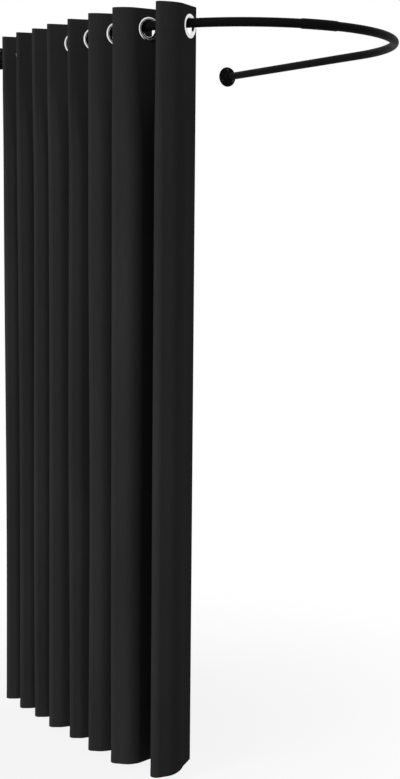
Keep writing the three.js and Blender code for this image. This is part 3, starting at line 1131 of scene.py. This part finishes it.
ringMaster, washerMaster = eyeletRing(), eyeletWasher()
for number, (centre, facing) in ringFrames.items():
    place = Matrix.Translation(centre) @ facing.to_track_quat("Z", "Y").to_matrix().to_4x4()
    for master, pieceName, node in (
        (ringMaster, "eyeletRing", "eyelet_front"), (washerMaster, "eyeletWasher", "eyelet_back"),
    ):
        piece = copyPiece(master, f"{pieceName}{number:02d}", place)
        placePiece(piece, shiny, body(number), f"{node}_{number:02d}")
for master in (ringMaster, washerMaster):
    removePiece(master)
print("eyelets made")

rows = rowDepths()
sheets = planSheets(rows)
clothWidth = sheets[-1]["across"][-1]
blackCloth = clothMaterial(clothWidth)
for sheet in sheets:
    piece = clothSheet(sheet, rows, clothWidth)
    piece.data.materials.append(blackCloth)
    joinToBodies(piece, sheet)
print("curtain:", len(sheets), "sheets,", round(clothWidth, 3), "m across")

# Studio: pale floor, white surroundings, soft light from the left, and the camera

floor = {
    "height": -2.08,
    "size": 60,
    "colour": (0.6, 0.6, 0.6),
    "roughness": 0.9,
    "metallic": 0,
    "specular": 0.1,
    "fade": (0.5, 1.8),  # distances from the curtain where the floor turns to plain white
    "whiteShare": 0.86,  # of plain white, under the curtain
}
light = {
    "ambient": 0.4,  # the world's strength where the camera doesn't see it directly
    "keySun": {"strength": 2.2, "width": 25, "comesFrom": (-0.92, -0.16, 0.36)},
    "fillSun": {"strength": 0.8, "width": 50, "comesFrom": (0.8, 0.3, 0.45)},
}
camera = {
    "place": (-2.46975, -4.36287, -0.57931),
    "yaw": 32.7347,  # degrees, from +Y towards +X
    "pitch": -5.8282,
    "roll": 0.3987,
    "lens": 67.2,
    "sensor": 36,
    "clip": (0.05, 100),
}


# 1 where the camera sees a surface, also in metal or through glass
def seenDirectly(material):
    rays = addNode(material, "ShaderNodeLightPath").outputs
    seen = mathNode(material, "MAXIMUM", rays["Is Camera Ray"], rays["Is Glossy Ray"])
    return mathNode(material, "MAXIMUM", seen, rays["Is Transmission Ray"])


def makeFloor():
    piece = addPrimitive(
        "floor", bpy.ops.mesh.primitive_plane_add, size=floor["size"],
        location=(0, 0, floor["height"]),
    )
    material = newMaterial("floorPaint", floor["colour"], floor)
    nodes = material.node_tree.nodes
    white = addNode(material, "ShaderNodeEmission", {"Color": (1, 1, 1, 1), "Strength": 1})
    place = addNode(material, "ShaderNodeTexCoord").outputs["Object"]
    centre = addNode(material, "ShaderNodeMapping", {
        "Location": (bowRadius, armLength / 2, -floor["height"]),
    })
    link(material, place, centre.inputs["Vector"])
    length = addNode(material, "ShaderNodeVectorMath", operation="LENGTH")
    link(material, centre.outputs["Vector"], length.inputs[0])
    near, far = floor["fade"]
    fade = spreadNode(material, length.outputs["Value"], floor["whiteShare"], 1, near, far)
    mix = addNode(material, "ShaderNodeMixShader")
    link(material, mathNode(material, "MULTIPLY", fade, seenDirectly(material)), mix.inputs[0])
    link(material, nodes["Principled BSDF"].outputs[0], mix.inputs[1])
    link(material, white.outputs[0], mix.inputs[2])
    link(material, mix.outputs[0], nodes["Material Output"].inputs["Surface"])
    piece.data.materials.append(material)


def makeWorld():
    world = bpy.data.worlds.new("studio")
    world.use_nodes = True
    bpy.context.scene.world = world
    background = world.node_tree.nodes["Background"]
    background.inputs["Color"].default_value = (1, 1, 1, 1)
    extra = mathNode(world, "MULTIPLY", seenDirectly(world), 1 - light["ambient"])
    level = mathNode(world, "ADD", extra, light["ambient"])
    link(world, level, background.inputs["Strength"])


def addSun(name, strength, width, comesFrom):
    lamp = bpy.data.lights.new(name, "SUN")
    lamp.energy = strength
    lamp.angle = math.radians(width)
    sun = bpy.data.objects.new(name, lamp)
    sun.rotation_euler = Vector(comesFrom).to_track_quat("Z", "Y").to_euler()
    sun.visible_glossy = False  # no glare on the chrome
    bpy.context.scene.collection.objects.link(sun)


def addCamera():
    data = bpy.data.cameras.new("camera")
    data.sensor_width = camera["sensor"]
    data.lens = camera["lens"]
    data.clip_start, data.clip_end = camera["clip"]
    eye = bpy.data.objects.new("camera", data)
    yaw, pitch, roll = (math.radians(camera[name]) for name in ("yaw", "pitch", "roll"))
    forward = Vector((
        math.sin(yaw) * math.cos(pitch), math.cos(yaw) * math.cos(pitch), math.sin(pitch)
    ))
    levelRight = Vector((math.cos(yaw), -math.sin(yaw), 0))
    levelUp = levelRight.cross(forward)
    right = levelRight * math.cos(roll) + levelUp * math.sin(roll)
    top = levelUp * math.cos(roll) - levelRight * math.sin(roll)
    turn = Matrix((right, top, -forward)).transposed().to_4x4()
    eye.matrix_world = Matrix.Translation(camera["place"]) @ turn
    bpy.context.scene.collection.objects.link(eye)
    bpy.context.scene.camera = eye


makeFloor()
makeWorld()
for name in ("keySun", "fillSun"):
    addSun(name, **light[name])
addCamera()
bpy.context.scene.view_settings.view_transform = "Standard"
print("studio ready")
